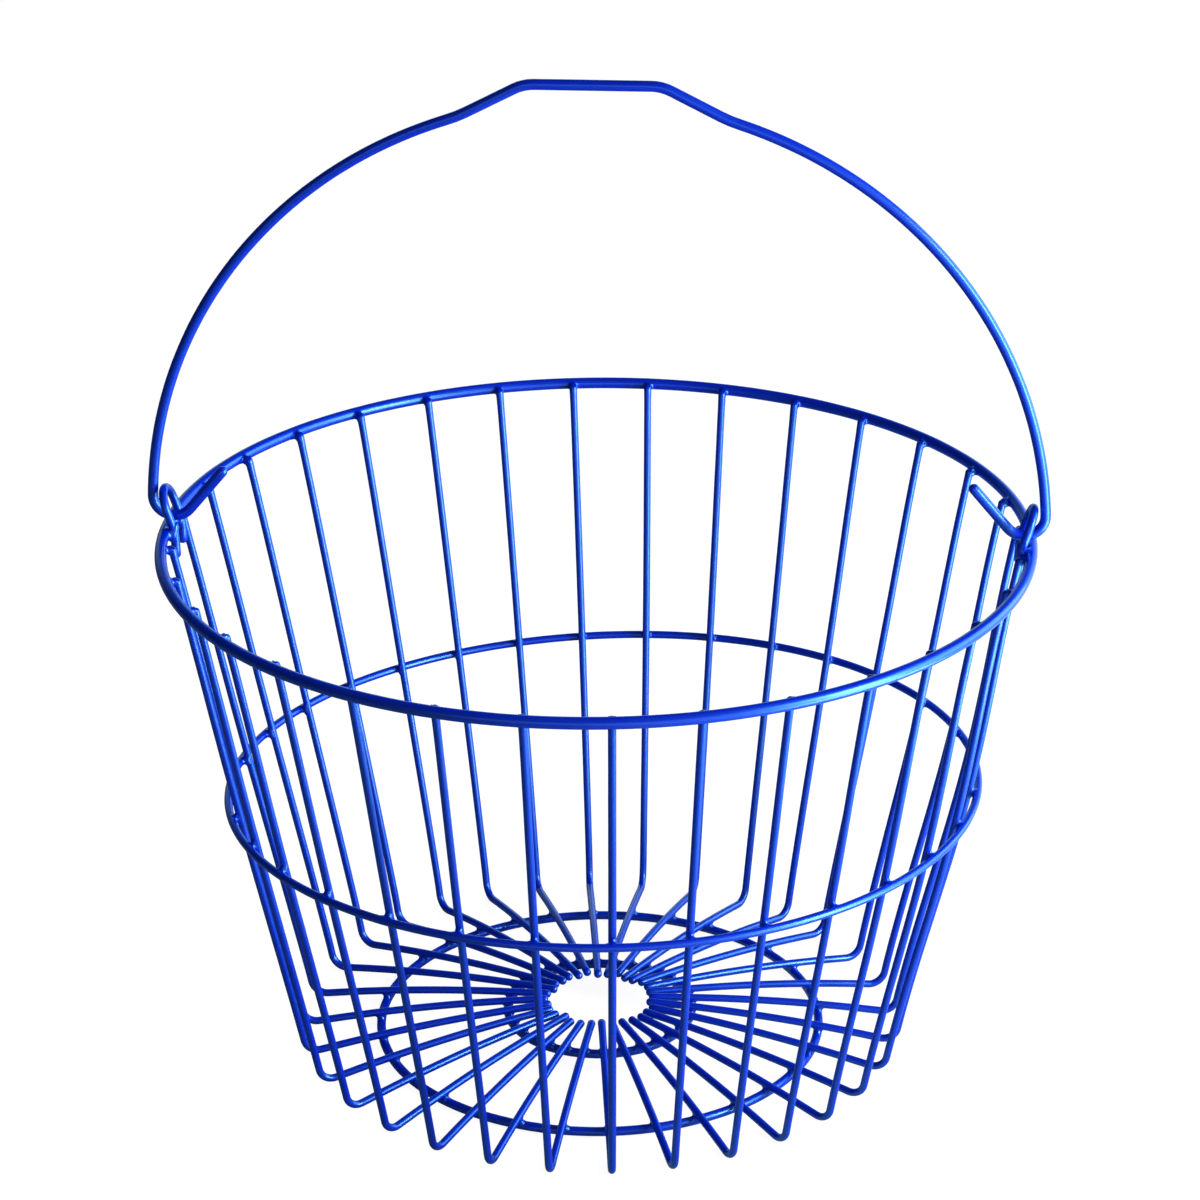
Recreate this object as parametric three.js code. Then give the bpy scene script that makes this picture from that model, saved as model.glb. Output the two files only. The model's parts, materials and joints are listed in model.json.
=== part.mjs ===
// A welded wire egg basket with a swinging bail, all of it dipped in blue plastic.
// Millimetres, +Z up. The basket stands on z = 0, its axis is Z and its two ears lie on X.
import * as THREE from "three";

// Wire diameters, measured over the plastic coat and across the flats of the section
const RIM_WIRE = 4.6;
const MID_WIRE = 3.2;
const BASE_WIRE = 3.6;
const RIB_WIRE = 3.0;
const EAR_WIRE = 3.4;
const BAIL_WIRE = 4.1;

// Clearances
const WELD_GAP = 0.3; // between two wires that are welded to each other
const HOOK_GAP = 0.45; // between the bail's hook and the rim under it
const ARM_GAP = 0.5; // between the bail's arm and the top of the ear
const EAR_HEADROOM = 7.1; // clear height in the ear, above the bail's hook
const EAR_TO_RIB = 1.0; // between a leg of the ear and the rib beside it
const TIP_GAP = 0.84; // between the tips of neighbouring spokes

// Rings, measured at the middle of the wire
const RIM_RADIUS = 165.7;
const RIM_HEIGHT = 212;
const MID_HEIGHT = 109.6;
const OUTER_BASE_RADIUS = 87.8;

// Ribs: a wall leg, a bend at the corner of the base, and a spoke that rises to the middle on a shallow dome
const RIB_COUNT = 32;
const RIB_END_RISE = 0.8; // end of the wall leg above the middle of the rim
const BASE_OVERHANG = 30.8; // from the outer base ring out to the corner, where wall leg and spoke would meet
const CORNER_BEND = 6; // bend radius at the middle of the wire
const DOME_RADIUS = 680;
const SPOKE_OVERHANG = 17.25; // from the tip of the spoke out to the inner base ring

// Ears: hairpin loops whose legs stand inside the rim and lean out over it
const EAR_HALF_WIDTH = 7.4; // to the middle of each leg
const EAR_DROP = 8.5; // ends of the legs below the middle of the rim
const EAR_LEAN = THREE.MathUtils.degToRad(18);

// Bail: a half circle with a raised flat grip, and a hook with a tail at each end
const HOOK_BEND = 8;
const TAIL_ANGLE = THREE.MathUtils.degToRad(50); // above level, pointing into the basket
const TAIL_LENGTH = 22.5;
const GRIP_LENGTH = 50.8;
const GRIP_RISE = 3.25; // grip above the top of the half circle
const GRIP_SHOULDER = 23; // from each end of the grip, outwards, to where its slope leaves the half circle
const GRIP_BEND = 9;

// Roundness of the model: sides of a wire's section, steps along its bends, facets of a ring from rib to rib
const SIDES_PER_QUARTER = 2;
const BEND_STEP = THREE.MathUtils.degToRad(15);
const BAIL_STEP = THREE.MathUtils.degToRad(5);
const RIM_FACETS = 3;
const MID_FACETS = 3;
const OUTER_BASE_FACETS = 2;
const INNER_BASE_FACETS = 1;

// Finish
const COAT_COLOUR = 0x1036b4;
const COAT_ROUGHNESS = 0.22;

// A wire's path: stations joined by straight lines, each with the direction that the wire has there.
class WirePath extends THREE.Curve {
  constructor(stations) {
    super();
    this.stations = stations;
  }

  get steps() {
    return this.stations.length - 1;
  }

  getPoint(share) {
    const index = Math.round(share * this.steps);
    return this.stations[index].clone();
  }

  getPointAt(share) {
    return this.getPoint(share);
  }

  getTangentAt(share) {
    const index = Math.round(share * this.steps);
    const here = this.stations[index];
    const before = this.stations[Math.max(index - 1, 0)];
    const after = this.stations[Math.min(index + 1, this.steps)];
    const arriving = here.clone().sub(before).normalize();
    const leaving = after.clone().sub(here).normalize();
    return arriving.add(leaving).normalize();
  }
}

// The corners of a wire's section, a polygon with a flat on each side, as seen along the wire.
function sectionPoints(wire) {
  const sides = 4 * SIDES_PER_QUARTER;
  const reach = wire / 2 / Math.cos(Math.PI / sides);
  const points = [];
  for (let side = 0; side < sides; side++) {
    const angle = ((side + 0.5) / sides) * 2 * Math.PI;
    points.push(new THREE.Vector2(reach * Math.cos(angle), reach * Math.sin(angle)));
  }
  return points;
}

// Points on an arc in a plane, from one angle to another.
function arcPoints(centre, radius, from, to, step) {
  const count = Math.max(2, Math.ceil(Math.abs(to - from) / step));
  const points = [];
  for (let i = 0; i <= count; i++) {
    const angle = from + ((to - from) * i) / count;
    const offset = new THREE.Vector2(Math.cos(angle), Math.sin(angle)).multiplyScalar(radius);
    points.push(offset.add(centre));
  }
  return points;
}

// Points round the bend that a wire makes at a corner, between its directions before and after it.
function bendPoints(arriving, corner, leaving, radius) {
  const turn = Math.atan2(arriving.cross(leaving), arriving.dot(leaving));
  const setback = radius * Math.tan(Math.abs(turn) / 2);
  const side = Math.sign(turn);
  const start = corner.clone().addScaledVector(arriving, -setback);
  const toCentre = new THREE.Vector2(-arriving.y, arriving.x).multiplyScalar(side * radius);
  const centre = start.clone().add(toCentre);
  const startAngle = Math.atan2(-toCentre.y, -toCentre.x);
  return arcPoints(centre, radius, startAngle, startAngle + turn, BEND_STEP);
}

function direction(from, to) {
  return to.clone().sub(from).normalize();
}

// Points of a plane outline, laid in the upright plane through X and Z.
function upright(points) {
  return points.map((point) => new THREE.Vector3(point.x, 0, point.y));
}

function coat() {
  return new THREE.MeshStandardMaterial({
    color: COAT_COLOUR,
    roughness: COAT_ROUGHNESS,
    metalness: 0,
  });
}

function bentWire(name, stations, wire) {
  const path = new WirePath(stations);
  const section = new THREE.Shape(sectionPoints(wire));
  const geometry = new THREE.ExtrudeGeometry(section, { steps: path.steps, extrudePath: path });
  const mesh = new THREE.Mesh(geometry, coat());
  mesh.name = name;
  return mesh;
}

// The wall leg passes inside the rim, one weld gap clear of it.
const rimSeat = RIM_WIRE / 2 + WELD_GAP + RIB_WIRE / 2;

// The first rib stands beside the right-hand ear.
// Where their count is even, another stands beside the left-hand ear.
const ribPitch = (2 * Math.PI) / RIB_COUNT;
const earToFirstRib = EAR_HALF_WIDTH + EAR_WIRE / 2 + EAR_TO_RIB + RIB_WIRE / 2;
const firstRibAngle = -Math.asin(earToFirstRib / (RIM_RADIUS - rimSeat));

function ribAngle(index) {
  return firstRibAngle + index * ribPitch;
}

// A level ring. Its facets meet at the ribs, so that each rib faces an edge of the ring at the full radius.
function ringWire(name, radius, height, wire, facetsPerRib) {
  const profile = sectionPoints(wire).map((point) => point.add(new THREE.Vector2(radius, height)));
  profile.push(profile[0].clone());
  const geometry = new THREE.LatheGeometry(profile, RIB_COUNT * facetsPerRib, Math.PI / 2);
  geometry.rotateX(Math.PI / 2);
  const mesh = new THREE.Mesh(geometry, coat());
  mesh.name = name;
  mesh.rotation.z = ribAngle(0);
  return mesh;
}

// The rib's own plane: distance from the axis, and height.
// The spokes lie on the outer base ring, which stands on z = 0.
const tipRadius = (RIB_WIRE + TIP_GAP) / (2 * Math.sin(ribPitch / 2));
const innerBaseRadius = tipRadius + SPOKE_OVERHANG;
const cornerRadius = OUTER_BASE_RADIUS + BASE_OVERHANG;

function domeLean(radius) {
  return Math.asin(radius / DOME_RADIUS);
}

function baseSeat(radius) {
  return (RIB_WIRE / 2 + WELD_GAP + BASE_WIRE / 2) / Math.cos(domeLean(radius));
}

function domeDrop(radius) {
  return DOME_RADIUS * (1 - Math.cos(domeLean(radius)));
}

function spokePoint(radius) {
  const onRing = BASE_WIRE / 2 + baseSeat(OUTER_BASE_RADIUS);
  return new THREE.Vector2(radius, onRing + domeDrop(OUTER_BASE_RADIUS) - domeDrop(radius));
}

const corner = spokePoint(cornerRadius);
const toRim = new THREE.Vector2(RIM_RADIUS, RIM_HEIGHT).sub(corner);
const wallLean = Math.atan2(toRim.x, toRim.y) - Math.asin(rimSeat / toRim.length());

function wallPoint(height) {
  return new THREE.Vector2(cornerRadius + (height - corner.y) * Math.tan(wallLean), height);
}

function rib(index) {
  const spoke = [
    spokePoint(tipRadius),
    spokePoint(innerBaseRadius),
    spokePoint((innerBaseRadius + OUTER_BASE_RADIUS) / 2),
    spokePoint(OUTER_BASE_RADIUS),
  ];
  const end = wallPoint(RIM_HEIGHT + RIB_END_RISE);
  const lean = domeLean(cornerRadius);
  const outwards = new THREE.Vector2(Math.cos(lean), -Math.sin(lean));
  const bend = bendPoints(outwards, corner, direction(corner, end), CORNER_BEND);
  const name = "rib_" + String(index + 1).padStart(2, "0");
  const mesh = bentWire(name, upright([...spoke, ...bend, end]), RIB_WIRE);
  mesh.rotation.z = ribAngle(index);
  return mesh;
}

function midRing() {
  const seat = (RIB_WIRE / 2 + WELD_GAP + MID_WIRE / 2) / Math.cos(wallLean);
  return ringWire("mid_ring", wallPoint(MID_HEIGHT).x + seat, MID_HEIGHT, MID_WIRE, MID_FACETS);
}

function innerBaseRing() {
  const height = spokePoint(innerBaseRadius).y - baseSeat(innerBaseRadius);
  return ringWire("inner_base_ring", innerBaseRadius, height, BASE_WIRE, INNER_BASE_FACETS);
}

// The bail turns about a level line along X, at the middle of its wire where the hooks cross the rim.
const hingeHeight = RIM_HEIGHT + RIM_WIRE / 2 + HOOK_GAP + BAIL_WIRE / 2;

// Seen from the side, an ear's wire stands inside the rim, bends round it and then leans straight out.
// The top of its loop, at the middle of its wire, is measured along the wire from the middle of the rim.
const earSeat = RIM_WIRE / 2 + WELD_GAP + EAR_WIRE / 2;
const earBendLength = earSeat * EAR_LEAN;
const earTopHeight = hingeHeight + BAIL_WIRE / 2 + EAR_HEADROOM + EAR_WIRE / 2;
const earBendRise = earSeat * Math.sin(EAR_LEAN);
const earRise = earBendLength + (earTopHeight - RIM_HEIGHT - earBendRise) / Math.cos(EAR_LEAN);

// A point of the ear laid out flat: across is along Y, along is up the wire from the middle of the rim.
function earPoint(across, along) {
  const rimOut = Math.sqrt(RIM_RADIUS ** 2 - EAR_HALF_WIDTH ** 2);
  const lean = THREE.MathUtils.clamp(along / earSeat, 0, EAR_LEAN);
  const straight = along - earSeat * lean;
  const out = rimOut - earSeat * Math.cos(lean) + straight * Math.sin(lean);
  const height = RIM_HEIGHT + earSeat * Math.sin(lean) + straight * Math.cos(lean);
  return new THREE.Vector3(out, across, height);
}

function ear(name, turn) {
  const loopCentre = new THREE.Vector2(0, earRise - EAR_HALF_WIDTH);
  const leg = [-EAR_DROP, 0, earBendLength / 2, earBendLength];
  const outline = [
    ...leg.map((along) => new THREE.Vector2(EAR_HALF_WIDTH, along)),
    ...arcPoints(loopCentre, EAR_HALF_WIDTH, 0, Math.PI, BEND_STEP),
    ...leg.toReversed().map((along) => new THREE.Vector2(-EAR_HALF_WIDTH, along)),
  ];
  const stations = outline.map((point) => earPoint(point.x, point.y));
  const mesh = bentWire(name, stations, EAR_WIRE);
  mesh.rotation.z = turn;
  return mesh;
}

// The bail's outline on the +X side, measured from the middle of the hinge line, tail first.
// Its arm passes outside the top of the ear.
function halfBail() {
  const earTop = earPoint(0, earRise);
  const earReach = Math.hypot(earTop.x, earTop.z - hingeHeight) + EAR_WIRE / 2;
  const bailRadius = earReach + ARM_GAP + BAIL_WIRE / 2;
  const hookStart = Math.asin(HOOK_BEND / (bailRadius - HOOK_BEND));
  const hookEnd = -Math.PI / 2 - TAIL_ANGLE;
  const hookCentre = new THREE.Vector2((bailRadius - HOOK_BEND) * Math.cos(hookStart), HOOK_BEND);
  const hook = arcPoints(hookCentre, HOOK_BEND, hookEnd, hookStart, BEND_STEP);
  const inwards = new THREE.Vector2(-Math.cos(TAIL_ANGLE), Math.sin(TAIL_ANGLE));
  const tailEnd = hook[0].clone().addScaledVector(inwards, TAIL_LENGTH);
  const shoulder = GRIP_LENGTH / 2 + GRIP_SHOULDER;
  const centre = new THREE.Vector2(0, 0);
  const arc = arcPoints(centre, bailRadius, hookStart, Math.acos(shoulder / bailRadius), BAIL_STEP);
  const gripEnd = new THREE.Vector2(GRIP_LENGTH / 2, bailRadius + GRIP_RISE);
  const alongGrip = new THREE.Vector2(-1, 0);
  const bend = bendPoints(direction(arc.at(-1), gripEnd), gripEnd, alongGrip, GRIP_BEND);
  return [tailEnd, ...hook, ...arc.slice(1), ...bend];
}

function bail() {
  const right = halfBail();
  const left = right.map((point) => new THREE.Vector2(-point.x, point.y)).reverse();
  const mesh = bentWire("bail", upright([...right, ...left]), BAIL_WIRE);
  mesh.position.z = hingeHeight;
  return mesh;
}

const basket = new THREE.Group();
basket.add(ringWire("rim_ring", RIM_RADIUS, RIM_HEIGHT, RIM_WIRE, RIM_FACETS));
basket.add(midRing());
basket.add(ringWire("outer_base_ring", OUTER_BASE_RADIUS, BASE_WIRE / 2, BASE_WIRE, OUTER_BASE_FACETS));
basket.add(innerBaseRing());
for (let index = 0; index < RIB_COUNT; index++) {
  basket.add(rib(index));
}
basket.add(ear("ear_right", 0));
basket.add(ear("ear_left", Math.PI));
basket.add(bail());

export default basket;
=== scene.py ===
import json
from math import acos, asin, atan2, ceil, cos, exp, hypot, inf, pi, radians, sin, sqrt, tan
from random import Random

import bpy
from mathutils import Matrix, Vector


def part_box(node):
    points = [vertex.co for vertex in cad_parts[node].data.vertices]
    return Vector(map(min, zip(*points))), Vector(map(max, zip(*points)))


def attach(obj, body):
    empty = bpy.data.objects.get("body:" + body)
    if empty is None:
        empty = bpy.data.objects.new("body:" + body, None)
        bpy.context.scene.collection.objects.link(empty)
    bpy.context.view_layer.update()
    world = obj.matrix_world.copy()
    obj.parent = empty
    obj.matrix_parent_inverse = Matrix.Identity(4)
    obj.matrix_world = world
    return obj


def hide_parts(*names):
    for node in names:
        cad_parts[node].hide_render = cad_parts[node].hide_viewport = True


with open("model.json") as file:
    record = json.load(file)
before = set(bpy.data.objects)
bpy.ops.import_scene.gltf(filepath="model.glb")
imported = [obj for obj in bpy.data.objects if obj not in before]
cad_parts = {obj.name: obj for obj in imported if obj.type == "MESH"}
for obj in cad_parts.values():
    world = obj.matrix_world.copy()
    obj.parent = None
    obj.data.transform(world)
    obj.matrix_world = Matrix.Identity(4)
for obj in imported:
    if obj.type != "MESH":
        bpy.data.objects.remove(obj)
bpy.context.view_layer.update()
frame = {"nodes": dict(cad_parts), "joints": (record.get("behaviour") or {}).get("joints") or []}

# Ribs: a spoke on a shallow dome, a bend at the corner of the base, and a wall leg up to the rim
RIB_COUNT = 32
RIB_RADIUS = 0.0015
FRONT_END_RISE = 0.0006
BACK_END_RISE = 0.0008
BASE_OVERHANG = 0.0308
CORNER_BEND = 0.006
DOME_RADIUS = 0.680
SPOKE_OVERHANG = 0.01725
SPOKE_UNEVEN = 0.0015
TIP_SEED = 3
WELD_GAP = 0.0003

# Wall of the used basket: half way up it bows out, most on the right, and its ring stands higher in front,
# lower at the back on the left and higher at the back on the right
WALL_BOW = 0.005
WALL_BULGE = 0.020
BULGE_FOCUS = 4
MID_TILT = 0.0033
MID_TWIST = 0.006

# Stretches of ribs that were welded a little off their even places: the middle of the stretch, its spread,
# and how far the ribs there stand off on the base and on the rim
RIB_DRIFTS = (
    (radians(-133), radians(18), 0, radians(-3.0)),
    (radians(-110), radians(35), radians(-0.7), 0),
    (radians(-82), radians(25), 0, radians(-0.6)),
    (radians(-48), radians(10), 0, radians(0.9)),
    (radians(20), radians(14), 0, radians(-2.3)),
    (radians(41), radians(12), radians(1.8), radians(-0.3)),
    (radians(80), radians(30), 0, radians(1.0)),
    (radians(165), radians(50), radians(-3.0), radians(0.6)),
)

# Ears: hairpin loops whose legs stand inside the rim and lean out over it
EAR_RADIUS = 0.0017
EAR_HALF_WIDTH = 0.0074
EAR_HEADROOM = 0.0071
EAR_DROP = 0.0085
EAR_LEAN = radians(18)

# Bail: a half circle that is pressed in a little at its top, with a raised straight grip in its middle
# and a hook with a tail at each end
BAIL_RADIUS = 0.00205
ARM_GAP = 0.0005
HOOK_BEND = 0.008
TAIL_ANGLE = radians(50)
TAIL_LENGTH = 0.0225
GRIP_LENGTH = 0.0508
GRIP_SHOULDER = 0.0255
GRIP_BEND = 0.016
SHOULDER_BEND = 0.045
BAIL_PRESS = 0.0021

# Coated wires: how finely they are made, how uneven the plastic is, and how it swells at the ends of a wire
PATH_STEP = 0.0035
BEND_STEP = radians(9)
WIRE_SIDES = 20
END_ANGLES = [radians(a) for a in (6, 22, 42, 62, 80)]
LUMP_HEIGHT = 0.00005
LUMP_LENGTH = 0.014
LUMP_DETAIL = 1.0
TIP_SWELL = 0.10
DRIP_SWELL = 0.16
SWELL_REACH = 3.0
DRIP_LENGTH = 0.0013

# Weld beads: their fillet where a wire ends on a ring and where it crosses one, the least share of it left
# at the end of a wire, how deep their edge is sunk in the wires, and how finely they are made
END_FILLET = 0.0032
CROSSING_FILLET = 0.0022
BEAD_FLAT = 0.6
BEAD_SUNK = 0.00002
BEAD_SIDES = 18
BEAD_TILTS = [radians(a) for a in (-56, -34, -16, 0, 16, 34, 56)]
SEARCH_STEPS = 40
SEARCH_HALVINGS = 20

# Finish: thicker and thinner patches, faint ripples, and a clear coat that tints the plastic below it
PATCH_DETAIL = 3.0
RIPPLE_DETAIL = 2.0
RIPPLE_STRENGTH = 0.08
RIPPLE_HEIGHT = 0.0002
PLASTIC_IOR = 1.7
PLASTIC_SPECULAR = 0.9
CLEAR_COAT_IOR = 1.2
CLEAR_COAT_TINT = (0.2, 0.76, 1.0, 1.0)
CLEAR_COAT_ROUGHNESS = 0.12

# Places of the colour sockets on a Mix node, which share their names with other sockets
MIX_FIRST = 6
MIX_SECOND = 7
MIX_RESULT = 2

# Photograph's camera
CAMERA_DISTANCE = 1.6012
CAMERA_ELEVATION = radians(23.75)
CAMERA_AZIMUTH = radians(4.69)
CAMERA_ROLL = radians(-0.44)
CAMERA_AIM = Vector((0.00133, 0.00011, 0.18563))
CAMERA_LENS = 124.9
CAMERA_SENSOR = 36.0

# Stage: a white floor and backdrop. In reflections their white fades out to the left, between two places
# along X, and the backdrop's white fades out overhead, between two heights
FLOOR_HALF = 6.0
FLOOR_WHITE = 0.25
FLOOR_LIFT = 0.92
FLOOR_FADE = (-0.1, 0.4)
BACKDROP_FADE = (-0.8, -0.1)
LEFT_DIM = 0.01
AMBIENT = 0.20
HORIZON_TOP = 0.15
CEILING_START = 0.50
CEILING = 0.02

# Lamps: where each one stands, what it faces, its width and height, and how bright its face is
KEY_PLACE = Vector((1.205, -0.487, 0.46))
KEY_AIM = Vector((0, 0, 0.46))
KEY_SIZE = (0.34, 0.92)
KEY_BRIGHTNESS = 17.0
LOW_PLACE = Vector((0.75, -0.303, 0.004))
LOW_AIM = Vector((0.75, -0.303, 1.0))
LOW_SIZE = (0.90, 0.36)
LOW_TURN = radians(-22)
LOW_BRIGHTNESS = 9.0
SIDE_PLACE = Vector((1.35, 0.05, 0.55))
SIDE_AIM = Vector((0, 0, 0.55))
SIDE_SIZE = (2.6, 1.1)
SIDE_BRIGHTNESS = 2.8
TOP_PLACE = Vector((1.2, -0.1, 1.8))
TOP_AIM = Vector((0, 0, 0.2))
TOP_SIZE = (2.0, 2.0)
TOP_BRIGHTNESS = 0.7


# Sizes that are read from the CAD nodes

def ring_size(node):
    """Radius and height of a ring at the middle of its wire, and the wire's radius."""
    low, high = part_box(node)
    wire_radius = (high.z - low.z) / 2
    reach = max(hypot(v.co.x, v.co.y) for v in frame["nodes"][node].data.vertices)
    return reach - wire_radius, (low.z + high.z) / 2, wire_radius


def rib_angle(node):
    """Angle round the axis at which a rib stands."""
    points = [v.co for v in frame["nodes"][node].data.vertices]
    return atan2(sum(p.y for p in points), sum(p.x for p in points))


RIM_REACH, RIM_HEIGHT, RIM_RADIUS = ring_size("rim_ring")
MID_REACH, MID_HEIGHT, MID_RADIUS = ring_size("mid_ring")
OUTER_BASE_REACH, OUTER_BASE_HEIGHT, BASE_RADIUS = ring_size("outer_base_ring")
INNER_BASE_REACH, INNER_BASE_HEIGHT, _ = ring_size("inner_base_ring")
HINGE_HEIGHT = frame["joints"][0]["pos_m"][2]
GRIP_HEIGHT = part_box("bail")[1].z - BAIL_RADIUS - HINGE_HEIGHT
CORNER_REACH = OUTER_BASE_REACH + BASE_OVERHANG
TIP_REACH = INNER_BASE_REACH - SPOKE_OVERHANG


# Lines that the wires run along

def arc(centre, radius, start, end, step=BEND_STEP):
    """Points on a plane arc from one angle to another."""
    count = max(2, ceil(abs(end - start) / step))
    angles = [start + (end - start) * i / count for i in range(count + 1)]
    return [Vector((centre[0] + radius * cos(a), centre[1] + radius * sin(a))) for a in angles]


def bend(arriving, corner, leaving, radius):
    """Points round the bend that a wire makes at a corner, between its two directions."""
    turn = atan2(arriving.cross(leaving), arriving.dot(leaving))
    setback = radius * tan(abs(turn) / 2)
    side = 1 if turn > 0 else -1
    to_centre = Vector((-arriving.y, arriving.x)) * side * radius
    centre = corner - arriving * setback + to_centre
    start = atan2(-to_centre.y, -to_centre.x)
    return arc(centre, radius, start, start + turn)


def filled(points):
    """The same plane line, with points added on its long straight stretches."""
    line = [points[0]]
    for point in points[1:]:
        start = line[-1]
        stretch = point - start
        count = max(1, round(stretch.length / PATH_STEP))
        line += [start + stretch * (i / count) for i in range(1, count + 1)]
    return line


def dome_lean(reach):
    return asin(reach / DOME_RADIUS)


def spoke_point(reach):
    """A point of a spoke, as distance from the axis and height."""
    seat = (RIB_RADIUS + WELD_GAP + BASE_RADIUS) / cos(dome_lean(OUTER_BASE_REACH))
    crown = OUTER_BASE_HEIGHT + seat - DOME_RADIUS * cos(dome_lean(OUTER_BASE_REACH))
    return Vector((reach, crown + DOME_RADIUS * cos(dome_lean(reach))))


CORNER = spoke_point(CORNER_REACH)
SPOKE_TOP = spoke_point(TIP_REACH).y
RIM_SEAT = RIM_RADIUS + WELD_GAP + RIB_RADIUS
TO_RIM = Vector((RIM_REACH, RIM_HEIGHT)) - CORNER
WALL_LEAN = atan2(TO_RIM.x, TO_RIM.y) - asin(RIM_SEAT / TO_RIM.length)


def wall_point(height):
    """A point of a wall leg, as distance from the axis and height."""
    return Vector((CORNER_REACH + (height - CORNER.y) * tan(WALL_LEAN), height))


def settled(point):
    """The place of a wall point on the used basket. Base and rim stay as they are."""
    share = min(max((point.z - CORNER_BEND) / (RIM_HEIGHT - CORNER_BEND), 0), 1)
    pushed = sin(pi * share) ** 2
    to_right = max(point.x / hypot(point.x, point.y), 0)
    bow = 1 + (WALL_BOW + WALL_BULGE * to_right ** BULGE_FOCUS) * pushed
    return Vector((point.x * bow, point.y * bow, point.z))


def drifted(angle, height):
    """The angle at which a rib stands at a height: off one way on the base, and another way on the rim."""
    share = min(max((height - SPOKE_TOP) / (RIM_HEIGHT - SPOKE_TOP), 0), 1)
    place = angle
    for middle, spread, on_base, on_rim in RIB_DRIFTS:
        away = (angle - middle + pi) % (2 * pi) - pi
        off = on_base + (on_rim - on_base) * share
        place += off * exp(-((away / spread) ** 2))
    return place


def end_rise(angle):
    """How far above the middle of the rim a rib ends."""
    return BACK_END_RISE if sin(angle) > 0 else FRONT_END_RISE


def rib_outline(tip_reach, rise):
    """A rib in its own plane, from the tip of the spoke to the end of the wall leg."""
    lean = dome_lean(CORNER_REACH)
    outwards = Vector((cos(lean), -sin(lean)))
    end = wall_point(RIM_HEIGHT + rise)
    corner = bend(outwards, CORNER, (end - CORNER).normalized(), CORNER_BEND)
    count = round((corner[0].x - tip_reach) / PATH_STEP)
    reaches = [tip_reach + (corner[0].x - tip_reach) * i / count for i in range(count)]
    return [spoke_point(reach) for reach in reaches] + filled(corner + [end])


def rib_path(angle, tip_reach):
    path = []
    for reach, height in rib_outline(tip_reach, end_rise(angle)):
        turn = drifted(angle, height)
        path.append(settled(Vector((reach * cos(turn), reach * sin(turn), height))))
    return path


def ring_point(reach, height, tilt, twist, angle):
    """A point of a ring, which may be tilted up in front and twisted at the back."""
    to_back = (1 + sin(angle)) / 2
    up = twist * to_back * cos(angle) - tilt * sin(angle)
    out = reach + up * tan(WALL_LEAN)
    return settled(Vector((out * cos(angle), out * sin(angle), height + up)))


def ring_path(reach, height, tilt=0.0, twist=0.0):
    count = round(2 * pi * reach / PATH_STEP)
    return [ring_point(reach, height, tilt, twist, 2 * pi * i / count) for i in range(count)]


EAR_SEAT = RIM_RADIUS + WELD_GAP + EAR_RADIUS
EAR_TOP_HEIGHT = HINGE_HEIGHT + BAIL_RADIUS + EAR_HEADROOM + EAR_RADIUS
EAR_SLOPE = (EAR_TOP_HEIGHT - RIM_HEIGHT - EAR_SEAT * sin(EAR_LEAN)) / cos(EAR_LEAN)
EAR_RISE = EAR_SEAT * EAR_LEAN + EAR_SLOPE
RIM_AT_EAR = sqrt(RIM_REACH ** 2 - EAR_HALF_WIDTH ** 2)


def ear_point(across, along):
    """A point of the right-hand ear: across is along Y, along is up its wire from the middle of the rim."""
    lean = min(max(along / EAR_SEAT, 0), EAR_LEAN)
    straight = along - EAR_SEAT * lean
    out = RIM_AT_EAR - EAR_SEAT * cos(lean) + straight * sin(lean)
    return Vector((out, across, RIM_HEIGHT + EAR_SEAT * sin(lean) + straight * cos(lean)))


EAR_TOP = ear_point(0, EAR_RISE)
BAIL_REACH = hypot(EAR_TOP.x, EAR_TOP.z - HINGE_HEIGHT) + EAR_RADIUS + ARM_GAP + BAIL_RADIUS


def ear_path(turn):
    leg_end = -EAR_DROP - DRIP_LENGTH
    loop = arc((0, EAR_RISE - EAR_HALF_WIDTH), EAR_HALF_WIDTH, 0, pi)
    outline = [Vector((EAR_HALF_WIDTH, leg_end)), *loop, Vector((-EAR_HALF_WIDTH, leg_end))]
    spin = Matrix.Rotation(turn, 3, "Z")
    return [spin @ ear_point(p.x, p.y) for p in filled(outline)]


def pressed(point):
    """A point of the used basket's bail, whose bow is pressed in a little, most at its top."""
    return point * (1 - BAIL_PRESS / BAIL_REACH * (point.y / BAIL_REACH) ** 2)


def half_bail():
    """The bail on its +X side, measured from the middle of the hinge line, tail first."""
    hook_start = asin(HOOK_BEND / (BAIL_REACH - HOOK_BEND))
    hook_centre = Vector(((BAIL_REACH - HOOK_BEND) * cos(hook_start), HOOK_BEND))
    hook = arc(hook_centre, HOOK_BEND, -pi / 2 - TAIL_ANGLE, hook_start)
    tail_end = hook[0] + TAIL_LENGTH * Vector((-cos(TAIL_ANGLE), sin(TAIL_ANGLE)))
    shoulder_angle = acos((GRIP_LENGTH / 2 + GRIP_SHOULDER) / BAIL_REACH)
    shoulder = pressed(BAIL_REACH * Vector((cos(shoulder_angle), sin(shoulder_angle))))
    along_arc = Vector((-sin(shoulder_angle), cos(shoulder_angle)))
    grip_end = Vector((GRIP_LENGTH / 2, GRIP_HEIGHT))
    slope = (grip_end - shoulder).normalized()
    shoulder_bend = bend(along_arc, shoulder, slope, SHOULDER_BEND)
    last_angle = atan2(shoulder_bend[0].y, shoulder_bend[0].x)
    arm = arc((0, 0), BAIL_REACH, hook_start, last_angle, PATH_STEP / BAIL_REACH)
    grip_bend = bend(slope, grip_end, Vector((-1, 0)), GRIP_BEND)
    return [tail_end, *map(pressed, hook + arm[1:-1]), *shoulder_bend, *grip_bend]


def bail_path():
    right = half_bail()
    left = [Vector((-p.x, p.y)) for p in reversed(right)]
    return [Vector((p.x, 0, HINGE_HEIGHT + p.y)) for p in filled(right + left)]


# Node trees that make the wires and the beads

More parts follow.
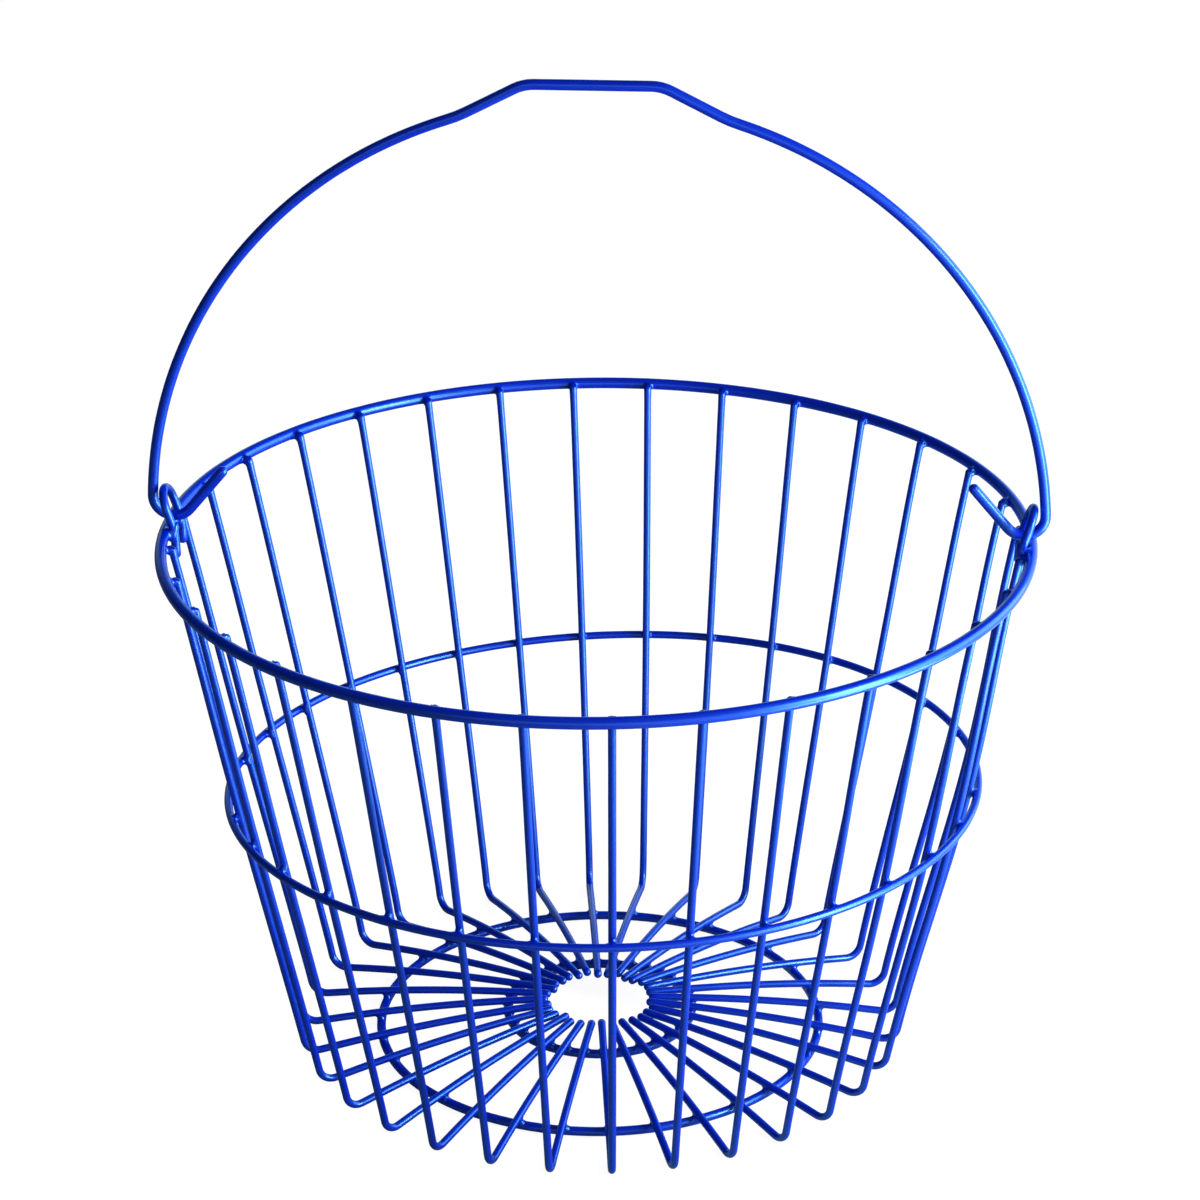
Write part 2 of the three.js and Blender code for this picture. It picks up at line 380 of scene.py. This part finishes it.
def add_node(tree, kind, **settings):
    node = tree.nodes.new(kind)
    for name, value in settings.items():
        setattr(node, name, value)
    return node


def add_math(tree, operation, first, second):
    """A Math node on two sockets or numbers."""
    node = add_node(tree, "ShaderNodeMath", operation=operation)
    for socket, value in zip(node.inputs, (first, second)):
        if isinstance(value, (int, float)):
            socket.default_value = value
        else:
            tree.links.new(value, socket)
    return node.outputs[0]


def new_tree(name, kind, inputs, outputs):
    """A node group with named sockets, and its input and output nodes."""
    tree = bpy.data.node_groups.new(name, kind)
    for socket_name, socket_kind in inputs.items():
        tree.interface.new_socket(socket_name, in_out="INPUT", socket_type="NodeSocket" + socket_kind)
    for socket_name, socket_kind in outputs.items():
        tree.interface.new_socket(socket_name, in_out="OUTPUT", socket_type="NodeSocket" + socket_kind)
    return tree, add_node(tree, "NodeGroupInput"), add_node(tree, "NodeGroupOutput")


def coated_wire_tree():
    """Makes a line into a round wire with a slightly uneven coat. The points carry the wire's radius."""
    inputs = {"Line": "Geometry", "Sides": "Int", "Lump Height": "Float", "Lump Length": "Float",
              "Seed": "Float", "Finish": "Material"}
    tree, given, made = new_tree("coated_wire", "GeometryNodeTree", inputs, {"Wire": "Geometry"})
    link = tree.links.new
    curve = add_node(tree, "GeometryNodeMeshToCurve")
    circle = add_node(tree, "GeometryNodeCurvePrimitiveCircle")
    radius = add_node(tree, "GeometryNodeInputNamedAttribute", data_type="FLOAT")
    tube = add_node(tree, "GeometryNodeCurveToMesh")
    noise = add_node(tree, "ShaderNodeTexNoise", noise_dimensions="4D")
    normal = add_node(tree, "GeometryNodeInputNormal")
    push = add_node(tree, "ShaderNodeVectorMath", operation="SCALE")
    uneven = add_node(tree, "GeometryNodeSetPosition")
    smooth = add_node(tree, "GeometryNodeSetShadeSmooth")
    realize = add_node(tree, "GeometryNodeRealizeInstances")
    finish = add_node(tree, "GeometryNodeSetMaterial")
    radius.inputs["Name"].default_value = "wire_radius"
    circle.inputs["Radius"].default_value = 1.0
    tube.inputs["Fill Caps"].default_value = True
    noise.inputs["Detail"].default_value = LUMP_DETAIL
    link(given.outputs["Line"], curve.inputs["Mesh"])
    link(given.outputs["Sides"], circle.inputs["Resolution"])
    link(curve.outputs["Curve"], tube.inputs["Curve"])
    link(circle.outputs["Curve"], tube.inputs["Profile Curve"])
    link(radius.outputs["Attribute"], tube.inputs["Scale"])
    link(given.outputs["Seed"], noise.inputs["W"])
    link(add_math(tree, "DIVIDE", 1.0, given.outputs["Lump Length"]), noise.inputs["Scale"])
    # The noise runs from 0 to 1. Centred and doubled, it pushes the coat both out and in
    lump = add_math(tree, "SUBTRACT", noise.outputs["Fac"], 0.5)
    height = add_math(tree, "MULTIPLY", lump, given.outputs["Lump Height"])
    link(normal.outputs["Normal"], push.inputs[0])
    link(add_math(tree, "MULTIPLY", height, 2.0), push.inputs["Scale"])
    link(tube.outputs["Mesh"], uneven.inputs["Geometry"])
    link(push.outputs["Vector"], uneven.inputs["Offset"])
    link(uneven.outputs["Geometry"], smooth.inputs["Geometry"])
    link(smooth.outputs["Geometry"], realize.inputs["Geometry"])
    link(realize.outputs["Geometry"], finish.inputs["Geometry"])
    link(given.outputs["Finish"], finish.inputs["Material"])
    link(finish.outputs["Geometry"], made.inputs["Wire"])
    return tree


def weld_beads_tree():
    """Puts one bead of plastic on each weld. The points carry the turn of their bead."""
    inputs = {"Welds": "Geometry", "Bead": "Object", "Finish": "Material"}
    tree, given, made = new_tree("weld_beads", "GeometryNodeTree", inputs, {"Beads": "Geometry"})
    link = tree.links.new
    bead = add_node(tree, "GeometryNodeObjectInfo")
    turn = add_node(tree, "GeometryNodeInputNamedAttribute", data_type="FLOAT_VECTOR")
    rotation = add_node(tree, "FunctionNodeEulerToRotation")
    place = add_node(tree, "GeometryNodeInstanceOnPoints")
    realize = add_node(tree, "GeometryNodeRealizeInstances")
    finish = add_node(tree, "GeometryNodeSetMaterial")
    turn.inputs["Name"].default_value = "bead_turn"
    link(given.outputs["Bead"], bead.inputs["Object"])
    link(given.outputs["Welds"], place.inputs["Points"])
    link(bead.outputs["Geometry"], place.inputs["Instance"])
    link(turn.outputs["Attribute"], rotation.inputs["Euler"])
    link(rotation.outputs["Rotation"], place.inputs["Rotation"])
    link(place.outputs["Instances"], realize.inputs["Geometry"])
    link(realize.outputs["Geometry"], finish.inputs["Geometry"])
    link(given.outputs["Finish"], finish.inputs["Material"])
    link(finish.outputs["Geometry"], made.inputs["Beads"])
    return tree


# Wires and beads as pieces

def new_object(name, points, edges, faces):
    mesh = bpy.data.meshes.new(name)
    mesh.from_pydata(points, edges, faces)
    piece = bpy.data.objects.new(name, mesh)
    bpy.context.scene.collection.objects.link(piece)
    return piece


def apply_tree(tree, piece, attribute, values):
    """Runs a geometry tree on a piece and keeps the plain mesh that comes out."""
    modifier = piece.modifiers.new(tree.name, "NODES")
    modifier.node_group = tree
    for item in tree.interface.items_tree:
        if item.in_out == "INPUT" and item.name in values:
            modifier[item.identifier] = values[item.name]
    graph = bpy.context.evaluated_depsgraph_get()
    mesh = bpy.data.meshes.new_from_object(piece.evaluated_get(graph))
    piece.modifiers.clear()
    piece.data = mesh
    if attribute in mesh.attributes:
        mesh.attributes.remove(mesh.attributes[attribute])


def with_round_ends(path, radius, swell):
    """An open line with closely spaced points at its ends, and the wire's radius at each point."""
    length = [0.0]
    for before, after in zip(path, path[1:]):
        length.append(length[-1] + (after - before).length)
    inner = [i for i, s in enumerate(length) if radius < s < length[-1] - radius]
    first = (path[1] - path[0]).normalized()
    last = (path[-2] - path[-1]).normalized()
    points = [path[0] + first * radius * (1 - cos(a)) for a in END_ANGLES]
    points += [path[i] for i in inner]
    points += [path[-1] + last * radius * (1 - cos(a)) for a in reversed(END_ANGLES)]
    stations = [radius * (1 - cos(a)) for a in END_ANGLES]
    stations += [length[i] for i in inner]
    stations += [length[-1] - radius * (1 - cos(a)) for a in reversed(END_ANGLES)]
    rounding = [sin(a) for a in END_ANGLES]
    shape = rounding + [1.0] * len(inner) + rounding[::-1]
    swelling = SWELL_REACH * radius
    radii = []
    for station, share in zip(stations, shape):
        from_end = min(station, length[-1] - station)
        radii.append(radius * share * (1 + swell * exp(-((from_end / swelling) ** 2))))
    return points, radii


def coated_wire(name, node, body, path, radius, finish, closed=False, swell=0.0):
    """A coated wire along a path, in place of its CAD node."""
    points, radii = (path, [radius] * len(path)) if closed else with_round_ends(path, radius, swell)
    edges = [(i, i + 1) for i in range(len(points) - 1)]
    if closed:
        edges.append((len(points) - 1, 0))
    piece = new_object(name, points, edges, [])
    piece.data.attributes.new("wire_radius", "FLOAT", "POINT").data.foreach_set("value", radii)
    apply_tree(wire_tree, piece, "wire_radius", {
        "Sides": WIRE_SIDES, "Lump Height": LUMP_HEIGHT, "Lump Length": LUMP_LENGTH,
        "Seed": float(sum(map(ord, name))), "Finish": finish})
    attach(piece, body)
    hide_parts(node)


def bead_mesh(name, ring_radius, rib_radius, rib_end=inf, most_fillet=END_FILLET):
    """The plastic that runs into the corner round a weld: a short spool between two crossing wires.

    The ring runs along Y through the origin, and the rib along Z on its +X side, up to its rounded end.
    """
    between = ring_radius + WELD_GAP / 2
    rib_out = ring_radius + WELD_GAP + rib_radius
    reach = max(ring_radius, rib_radius) + most_fillet
    weld_middle = Vector((between, 0, 0))

    def depth(point):
        """Signed distance to the two wires, blended where they come close."""
        to_ring = hypot(point.x, point.z) - ring_radius
        past_end = max(point.z - rib_end + rib_radius, 0)
        to_rib = hypot(point.x - rib_out, point.y, past_end) - rib_radius
        fillet = most_fillet * min(max((rib_end - point.z) / ring_radius, BEAD_FLAT), 1)
        share = max(fillet - abs(to_ring - to_rib), 0) / fillet
        return min(to_ring, to_rib) - share * share * fillet / 4

    def outside(direction, far):
        return depth(weld_middle + direction * far) > -BEAD_SUNK

    def surface(direction):
        """How far the coat reaches from the weld's middle in one direction."""
        for i in range(1, SEARCH_STEPS + 1):
            low = reach * (i - 1) / SEARCH_STEPS
            high = reach * i / SEARCH_STEPS
            if outside(direction, high):
                break
        else:
            return reach
        for _ in range(SEARCH_HALVINGS):
            middle = (low + high) / 2
            if outside(direction, middle):
                high = middle
            else:
                low = middle
        return low

    points = []
    for tilt in BEAD_TILTS:
        for i in range(BEAD_SIDES):
            angle = 2 * pi * i / BEAD_SIDES
            direction = Vector((sin(tilt), cos(tilt) * cos(angle), cos(tilt) * sin(angle)))
            points.append(weld_middle + direction * surface(direction))
    faces = []
    for low in range(0, len(points) - BEAD_SIDES, BEAD_SIDES):
        high = low + BEAD_SIDES
        for i in range(BEAD_SIDES):
            j = (i + 1) % BEAD_SIDES
            faces.append((low + i, low + j, high + j, high + i))
    faces.append(tuple(reversed(range(BEAD_SIDES))))
    faces.append(tuple(range(len(points) - BEAD_SIDES, len(points))))
    mesh = bpy.data.meshes.new(name)
    mesh.from_pydata(points, [], faces)
    mesh.shade_smooth()
    return bpy.data.objects.new(name, mesh)


def weld_beads(name, bead, welds, finish):
    """Beads of plastic on a row of welds.

    Each weld is a point in the middle of the ring's wire, the way from it to the rib, and the rib's way.
    """
    piece = new_object(name, [middle for middle, _, _ in welds], [], [])
    turns = []
    for _, to_rib, along_rib in welds:
        across = along_rib.cross(to_rib)
        turns += Matrix((to_rib, across, along_rib)).transposed().to_euler()
    piece.data.attributes.new("bead_turn", "FLOAT_VECTOR", "POINT").data.foreach_set("vector", turns)
    apply_tree(bead_tree, piece, "bead_turn", {"Bead": bead, "Finish": finish})
    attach(piece, "basket")


def rib_welds(reach, height, lean, tilt=0.0, twist=0.0):
    """Welds of all the ribs to one ring: inside it where they stand, on top of it where they lie."""
    up = Vector((0, 0, 1))
    welds = []
    for rib in rib_angles:
        angle = drifted(rib, height)
        out = Vector((cos(angle), sin(angle), 0))
        along = out * sin(lean) + up * cos(lean)
        to_rib = up * sin(lean) - out * cos(lean)
        welds.append((ring_point(reach, height, tilt, twist, angle), to_rib, along))
    return welds


def ear_welds():
    welds = []
    for turn in (0, pi):
        spin = Matrix.Rotation(turn, 3, "Z")
        for side in (-1, 1):
            middle = Vector((RIM_AT_EAR, side * EAR_HALF_WIDTH, RIM_HEIGHT))
            welds.append((spin @ middle, spin @ Vector((-1, 0, 0)), Vector((0, 0, 1))))
    return welds


# Finish of the plastic

def dip_variation_group():
    """How a dipped coat varies: its colour where it is thick or thin, its gloss, and its faint ripples."""
    inputs = {"Place": "Vector", "Thick Colour": "Color", "Thin Colour": "Color", "Patch Size": "Float",
              "Ripple Size": "Float", "Glossy": "Float", "Dull": "Float"}
    outputs = {"Colour": "Color", "Roughness": "Float", "Height": "Float"}
    tree, given, made = new_tree("dip_variation", "ShaderNodeTree", inputs, outputs)
    link = tree.links.new
    patches = add_node(tree, "ShaderNodeTexNoise")
    ripples = add_node(tree, "ShaderNodeTexNoise")
    colour = add_node(tree, "ShaderNodeMix", data_type="RGBA")
    gloss = add_node(tree, "ShaderNodeMapRange")
    patches.inputs["Detail"].default_value = PATCH_DETAIL
    ripples.inputs["Detail"].default_value = RIPPLE_DETAIL
    link(given.outputs["Place"], patches.inputs["Vector"])
    link(given.outputs["Place"], ripples.inputs["Vector"])
    link(add_math(tree, "DIVIDE", 1.0, given.outputs["Patch Size"]), patches.inputs["Scale"])
    link(add_math(tree, "DIVIDE", 1.0, given.outputs["Ripple Size"]), ripples.inputs["Scale"])
    link(patches.outputs["Fac"], colour.inputs["Factor"])
    link(given.outputs["Thick Colour"], colour.inputs[MIX_FIRST])
    link(given.outputs["Thin Colour"], colour.inputs[MIX_SECOND])
    link(patches.outputs["Fac"], gloss.inputs["Value"])
    link(given.outputs["Glossy"], gloss.inputs["To Min"])
    link(given.outputs["Dull"], gloss.inputs["To Max"])
    link(colour.outputs[MIX_RESULT], made.inputs["Colour"])
    link(gloss.outputs["Result"], made.inputs["Roughness"])
    link(ripples.outputs["Fac"], made.inputs["Height"])
    return tree


def srgb(red, green, blue):
    """A screen colour from 0 to 255 in linear light, by the numbers of the sRGB standard."""
    shares = [value / 255 for value in (red, green, blue)]
    return [s / 12.92 if s <= 0.04045 else ((s + 0.055) / 1.055) ** 2.4 for s in shares] + [1.0]


def blue_coat(name, thick, thin, patch_size, ripple_size, glossy, dull):
    """A glossy blue plastic between two colours and two roughnesses, thick to thin."""
    material = bpy.data.materials.new(name)
    material.use_nodes = True
    tree = material.node_tree
    shader = tree.nodes["Principled BSDF"]
    place = add_node(tree, "ShaderNodeTexCoord")
    variation = add_node(tree, "ShaderNodeGroup", node_tree=dip_variation)
    ripple = add_node(tree, "ShaderNodeBump")
    values = {"Thick Colour": thick, "Thin Colour": thin, "Patch Size": patch_size,
              "Ripple Size": ripple_size, "Glossy": glossy, "Dull": dull}
    for socket, value in values.items():
        variation.inputs[socket].default_value = value
    ripple.inputs["Strength"].default_value = RIPPLE_STRENGTH
    ripple.inputs["Distance"].default_value = RIPPLE_HEIGHT
    shader.inputs["IOR"].default_value = PLASTIC_IOR
    shader.inputs["Coat IOR"].default_value = CLEAR_COAT_IOR
    shader.inputs["Coat Tint"].default_value = CLEAR_COAT_TINT
    shader.inputs["Specular IOR Level"].default_value = PLASTIC_SPECULAR
    shader.inputs["Coat Weight"].default_value = 1.0
    shader.inputs["Coat Roughness"].default_value = CLEAR_COAT_ROUGHNESS
    tree.links.new(place.outputs["Object"], variation.inputs["Place"])
    tree.links.new(variation.outputs["Colour"], shader.inputs["Base Color"])
    tree.links.new(variation.outputs["Roughness"], shader.inputs["Roughness"])
    tree.links.new(variation.outputs["Height"], ripple.inputs["Height"])
    tree.links.new(ripple.outputs["Normal"], shader.inputs["Normal"])
    return material


# Stage, lamps and camera

def seen_directly(tree, place, fade):
    """One for the camera, zero for the light that the stage gives, and in reflections dim on the left."""
    left, right = fade
    path = add_node(tree, "ShaderNodeLightPath")
    axes = add_node(tree, "ShaderNodeSeparateXYZ")
    side = add_node(tree, "ShaderNodeMapRange", interpolation_type="SMOOTHSTEP")
    side.inputs["From Min"].default_value = left
    side.inputs["From Max"].default_value = right
    side.inputs["To Min"].default_value = LEFT_DIM
    tree.links.new(place, axes.inputs["Vector"])
    tree.links.new(axes.outputs["X"], side.inputs["Value"])
    mirrored = add_math(tree, "MAXIMUM", path.outputs["Is Glossy Ray"], path.outputs["Is Transmission Ray"])
    dimmed = add_math(tree, "MULTIPLY", mirrored, side.outputs["Result"])
    return add_math(tree, "MAXIMUM", path.outputs["Is Camera Ray"], dimmed)


def floor():
    """A white floor that looks whiter to the camera than the lamps make it, to meet the backdrop."""
    half = FLOOR_HALF
    corners = [(-half, -half, 0), (half, -half, 0), (half, half, 0), (-half, half, 0)]
    piece = new_object("floor", corners, [], [(0, 1, 2, 3)])
    material = bpy.data.materials.new("white_floor")
    material.use_nodes = True
    tree = material.node_tree
    tree.nodes.remove(tree.nodes["Principled BSDF"])
    matte = add_node(tree, "ShaderNodeBsdfDiffuse")
    lift = add_node(tree, "ShaderNodeEmission")
    place = add_node(tree, "ShaderNodeNewGeometry").outputs["Position"]
    total = add_node(tree, "ShaderNodeAddShader")
    matte.inputs["Color"].default_value = (FLOOR_WHITE, FLOOR_WHITE, FLOOR_WHITE, 1)
    seen = seen_directly(tree, place, FLOOR_FADE)
    tree.links.new(add_math(tree, "MULTIPLY", seen, FLOOR_LIFT), lift.inputs["Strength"])
    tree.links.new(matte.outputs["BSDF"], total.inputs[0])
    tree.links.new(lift.outputs["Emission"], total.inputs[1])
    tree.links.new(total.outputs["Shader"], tree.nodes["Material Output"].inputs["Surface"])
    piece.data.materials.append(material)


def backdrop():
    """Even soft light from all round. The camera sees white, and reflections a dark ceiling."""
    world = bpy.data.worlds.new("studio")
    bpy.context.scene.world = world
    world.use_nodes = True
    tree = world.node_tree
    link = tree.links.new
    way = add_node(tree, "ShaderNodeTexCoord")
    height = add_node(tree, "ShaderNodeSeparateXYZ")
    fade = add_node(tree, "ShaderNodeMapRange", interpolation_type="SMOOTHSTEP")
    fade.inputs["From Min"].default_value = HORIZON_TOP
    fade.inputs["From Max"].default_value = CEILING_START
    fade.inputs["To Min"].default_value = 1.0
    fade.inputs["To Max"].default_value = CEILING
    link(way.outputs["Generated"], height.inputs["Vector"])
    link(height.outputs["Z"], fade.inputs["Value"])
    seen = seen_directly(tree, way.outputs["Generated"], BACKDROP_FADE)
    white = add_math(tree, "MULTIPLY", seen, fade.outputs["Result"])
    ray = add_node(tree, "ShaderNodeLightPath").outputs["Is Glossy Ray"]
    fill = add_math(tree, "MULTIPLY", add_math(tree, "SUBTRACT", 1.0, ray), AMBIENT)
    link(add_math(tree, "MAXIMUM", white, fill), tree.nodes["Background"].inputs["Strength"])
    tree.nodes["Background"].inputs["Color"].default_value = (1, 1, 1, 1)


def softbox(name, place, aim, size, brightness, turn=0.0, mirrored=True):
    """A rectangular lamp. Its power is its brightness times pi times its area."""
    lamp = bpy.data.lights.new(name, "AREA")
    lamp.shape = "RECTANGLE"
    lamp.size, lamp.size_y = size
    lamp.energy = brightness * pi * size[0] * size[1]
    stand = bpy.data.objects.new(name, lamp)
    stand.location = place
    stand.visible_glossy = mirrored
    facing = (aim - place).to_track_quat("-Z", "Y").to_matrix()
    stand.rotation_euler = (Matrix.Rotation(turn, 3, "Z") @ facing).to_euler()
    bpy.context.scene.collection.objects.link(stand)


def camera():
    """The camera that took the photograph."""
    lens = bpy.data.cameras.new("camera")
    lens.lens = CAMERA_LENS
    lens.sensor_width = CAMERA_SENSOR
    stand = bpy.data.objects.new("camera", lens)
    tip = Matrix.Rotation(pi / 2 - CAMERA_ELEVATION, 4, "X")
    turn = Matrix.Rotation(CAMERA_AZIMUTH, 4, "Z") @ tip
    back = turn.to_3x3() @ Vector((0, 0, CAMERA_DISTANCE))
    roll = Matrix.Rotation(CAMERA_ROLL, 4, "Z")
    stand.matrix_world = Matrix.Translation(CAMERA_AIM + back) @ turn @ roll
    bpy.context.scene.collection.objects.link(stand)
    bpy.context.scene.camera = stand


# Camera, node trees and materials
camera()
wire_tree = coated_wire_tree()
bead_tree = weld_beads_tree()
dip_variation = dip_variation_group()
wire_coat = blue_coat("blue_coat", thick=srgb(0, 26, 192), thin=srgb(0, 36, 208),
                      patch_size=0.03, ripple_size=0.006, glossy=0.28, dull=0.38)
weld_coat = blue_coat("blue_coat_at_welds", thick=srgb(0, 24, 186), thin=srgb(0, 34, 202),
                      patch_size=0.012, ripple_size=0.005, glossy=0.24, dull=0.34)

rib_nodes = ["rib_%02d" % (i + 1) for i in range(RIB_COUNT)]
rib_angles = [rib_angle(node) for node in rib_nodes]

# Wires
coated_wire("coated_rim", "rim_ring", "basket",
            ring_path(RIM_REACH, RIM_HEIGHT), RIM_RADIUS, wire_coat, closed=True)
coated_wire("coated_mid_ring", "mid_ring", "basket",
            ring_path(MID_REACH, MID_HEIGHT, MID_TILT, MID_TWIST), MID_RADIUS, wire_coat, closed=True)
coated_wire("coated_outer_base_ring", "outer_base_ring", "basket",
            ring_path(OUTER_BASE_REACH, OUTER_BASE_HEIGHT), BASE_RADIUS, wire_coat, closed=True)
coated_wire("coated_inner_base_ring", "inner_base_ring", "basket",
            ring_path(INNER_BASE_REACH, INNER_BASE_HEIGHT), BASE_RADIUS, wire_coat, closed=True)
cut = Random(TIP_SEED)
for node, angle in zip(rib_nodes, rib_angles):
    path = rib_path(angle, TIP_REACH + cut.uniform(-SPOKE_UNEVEN, SPOKE_UNEVEN))
    coated_wire("coated_" + node, node, "basket", path, RIB_RADIUS, wire_coat, swell=TIP_SWELL)
coated_wire("coated_ear_right", "ear_right", "basket", ear_path(0), EAR_RADIUS, wire_coat, swell=DRIP_SWELL)
coated_wire("coated_ear_left", "ear_left", "basket", ear_path(pi), EAR_RADIUS, wire_coat, swell=DRIP_SWELL)
coated_wire("coated_bail", "bail", "bail", bail_path(), BAIL_RADIUS, wire_coat)

# Beads on the welds
rim_welds = list(zip(rib_angles, rib_welds(RIM_REACH, RIM_HEIGHT, WALL_LEAN)))
for side, rise in (("front", FRONT_END_RISE), ("back", BACK_END_RISE)):
    bead = bead_mesh(side + "_rim_bead", RIM_RADIUS, RIB_RADIUS, rise)
    welds = [weld for angle, weld in rim_welds if end_rise(angle) == rise]
    weld_beads(side + "_rim_weld_beads", bead, welds, weld_coat)
mid_bead = bead_mesh("mid_bead", MID_RADIUS, RIB_RADIUS, most_fillet=CROSSING_FILLET)
weld_beads("mid_weld_beads", mid_bead,
           rib_welds(MID_REACH, MID_HEIGHT, WALL_LEAN, MID_TILT, MID_TWIST), weld_coat)
base_bead = bead_mesh("base_bead", BASE_RADIUS, RIB_RADIUS, most_fillet=CROSSING_FILLET)
weld_beads("outer_base_weld_beads", base_bead,
           rib_welds(OUTER_BASE_REACH, OUTER_BASE_HEIGHT, pi / 2 + dome_lean(OUTER_BASE_REACH)), weld_coat)
weld_beads("inner_base_weld_beads", base_bead,
           rib_welds(INNER_BASE_REACH, INNER_BASE_HEIGHT, pi / 2 + dome_lean(INNER_BASE_REACH)), weld_coat)
weld_beads("ear_weld_beads", bead_mesh("ear_bead", RIM_RADIUS, EAR_RADIUS), ear_welds(), weld_coat)

# Stage and lamps
floor()
backdrop()
softbox("key", KEY_PLACE, KEY_AIM, KEY_SIZE, KEY_BRIGHTNESS)
softbox("side", SIDE_PLACE, SIDE_AIM, SIDE_SIZE, SIDE_BRIGHTNESS)
softbox("low_strip", LOW_PLACE, LOW_AIM, LOW_SIZE, LOW_BRIGHTNESS, LOW_TURN)
softbox("top", TOP_PLACE, TOP_AIM, TOP_SIZE, TOP_BRIGHTNESS, mirrored=False)
bpy.context.scene.view_settings.view_transform = "Standard"
